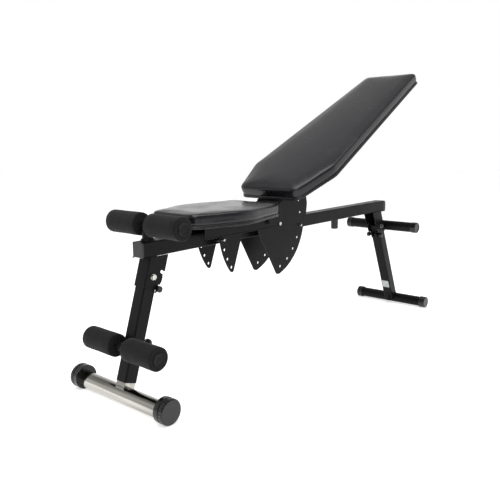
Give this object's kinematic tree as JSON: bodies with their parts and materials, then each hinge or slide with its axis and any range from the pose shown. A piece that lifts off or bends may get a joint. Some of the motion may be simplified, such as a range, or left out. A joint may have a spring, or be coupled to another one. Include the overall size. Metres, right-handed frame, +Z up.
{
  "type": "adjustable weight bench",
  "caption": "Folding weight bench with a tilting seat and backrest, foam leg rollers and a height-adjustable front foot.",
  "frame": {"origin": "on the floor under the middle of the bench's overall box", "axes": "+Z up, +Y from the foam-roller end towards the raised end of the backrest, +X to the user's left when seated facing the rollers"},
  "size_m": [0.3736, 1.4545, 0.9284],
  "materials": {
    "steel_black": "satin",
    "zinc": "satin",
    "chrome": "polished",
    "foam": "matte",
    "plastic": "matte",
    "vinyl": "satin",
    "plywood": "matte"
  },
  "bodies": {
    "frame": {"main_beam": "steel_black", "beam_cap_front": "plastic", "beam_cap_rear": "plastic", "hinge_sleeve": "steel_black", "hinge_bolt": "steel_black", "hinge_nut": "steel_black", "seat_pin_sleeve": "steel_black", "back_pin_sleeve": "steel_black", "fold_bumper": "plastic", "roller_post": "steel_black", "top_roller_bar": "steel_black", "top_bar_plugs": "plastic", "front_bracket": "steel_black", "rear_bracket": "steel_black", "front_leg_bolt": "zinc", "rear_leg_bolt": "zinc", "front_leg_nut": "zinc", "rear_leg_nut": "zinc", "rear_handle": "steel_black", "handle_caps": "plastic"},
    "front_leg": {"front_leg_tube": "steel_black", "front_leg_bush": "plastic", "front_lock_guides": "steel_black", "lower_roller_bar": "steel_black", "lower_bar_plugs": "plastic", "pop_pin_boss": "zinc"},
    "foot": {"foot_post": "chrome", "front_foot_tube": "chrome", "front_foot_caps": "plastic"},
    "pop_pin": {"pop_pin": "zinc", "pop_pin_knob": "plastic"},
    "rear_leg": {"rear_leg_tube": "steel_black", "rear_leg_bush": "plastic", "rear_lock_guides": "steel_black", "rear_foot_tube": "steel_black", "rear_foot_caps": "plastic", "rear_foot_gusset": "steel_black"},
    "front_lock": {"front_lock_bar": "steel_black", "front_lock_knobs": "plastic"},
    "rear_lock": {"rear_lock_bar": "steel_black", "rear_lock_knobs": "plastic"},
    "seat": {"seat_channel": "steel_black", "seat_lock_plates": "steel_black", "seat_board": "plywood", "seat_pad": "vinyl", "seat_screws": "zinc", "ear_bolts": "zinc"},
    "backrest": {"back_lock_plates": "steel_black", "back_channel": "steel_black", "back_board": "plywood", "back_pad": "vinyl", "back_screws": "zinc"},
    "seat_pin": {"seat_pin": "zinc", "seat_pin_knob": "plastic"},
    "back_pin": {"back_pin": "zinc", "back_pin_knob": "plastic"},
    "top_roller_right": {"top_roller_right": "foam"},
    "top_roller_left": {"top_roller_left": "foam"},
    "lower_roller_right": {"lower_roller_right": "foam"},
    "lower_roller_left": {"lower_roller_left": "foam"}
  },
  "joints": [
    {"name": "front_leg_fold", "type": "hinge", "parent": "frame", "child": "front_leg", "pos_m": [0, -0.6027, 0.319], "axis": [1, 0, 0], "range_deg": [0, 75]},
    {"name": "rear_leg_fold", "type": "hinge", "parent": "frame", "child": "rear_leg", "pos_m": [0, 0.5593, 0.338], "axis": [-1, 0, 0], "range_deg": [0, 75]},
    {"name": "foot_height", "type": "slide", "parent": "front_leg", "child": "foot", "axis": [0, -0.2874, -0.9578], "range_m": [0, 0.12]},
    {"name": "pop_pin_pull", "type": "slide", "parent": "front_leg", "child": "pop_pin", "axis": [0, 0.9578, -0.2874], "range_m": [0, 0.01], "stiffness_N_per_m": 400, "springref_m": -0.004},
    {"name": "front_lock_slide", "type": "slide", "parent": "front_leg", "child": "front_lock", "axis": [0, -0.2874, -0.9578], "range_m": [-0.008, 0.004]},
    {"name": "rear_lock_slide", "type": "slide", "parent": "rear_leg", "child": "rear_lock", "axis": [0, 0.4051, -0.9143], "range_m": [-0.008, 0.004]},
    {"name": "seat_tilt", "type": "hinge", "parent": "frame", "child": "seat", "pos_m": [0, -0.17484, 0.428], "axis": [-1, 0, 0], "range_deg": [0, 52.2]},
    {"name": "backrest_recline", "type": "hinge", "parent": "frame", "child": "backrest", "pos_m": [0, -0.17484, 0.428], "axis": [-1, 0, 0], "range_deg": [-57.4, 28.7]},
    {"name": "seat_pin_slide", "type": "slide", "parent": "frame", "child": "seat_pin", "axis": [-1, 0, 0], "range_m": [0, 0.12]},
    {"name": "back_pin_slide", "type": "slide", "parent": "frame", "child": "back_pin", "axis": [-1, 0, 0], "range_m": [0, 0.12]},
    {"name": "top_roller_right_spin", "type": "hinge", "parent": "frame", "child": "top_roller_right", "pos_m": [0, -0.60009, 0.45176], "axis": [1, 0, 0], "continuous": true},
    {"name": "top_roller_left_spin", "type": "hinge", "parent": "frame", "child": "top_roller_left", "pos_m": [0, -0.60009, 0.45176], "axis": [1, 0, 0], "continuous": true},
    {"name": "lower_roller_right_spin", "type": "hinge", "parent": "front_leg", "child": "lower_roller_right", "pos_m": [0, -0.68678, 0.14836], "axis": [1, 0, 0], "continuous": true},
    {"name": "lower_roller_left_spin", "type": "hinge", "parent": "front_leg", "child": "lower_roller_left", "pos_m": [0, -0.68678, 0.14836], "axis": [1, 0, 0], "continuous": true}
  ]
}
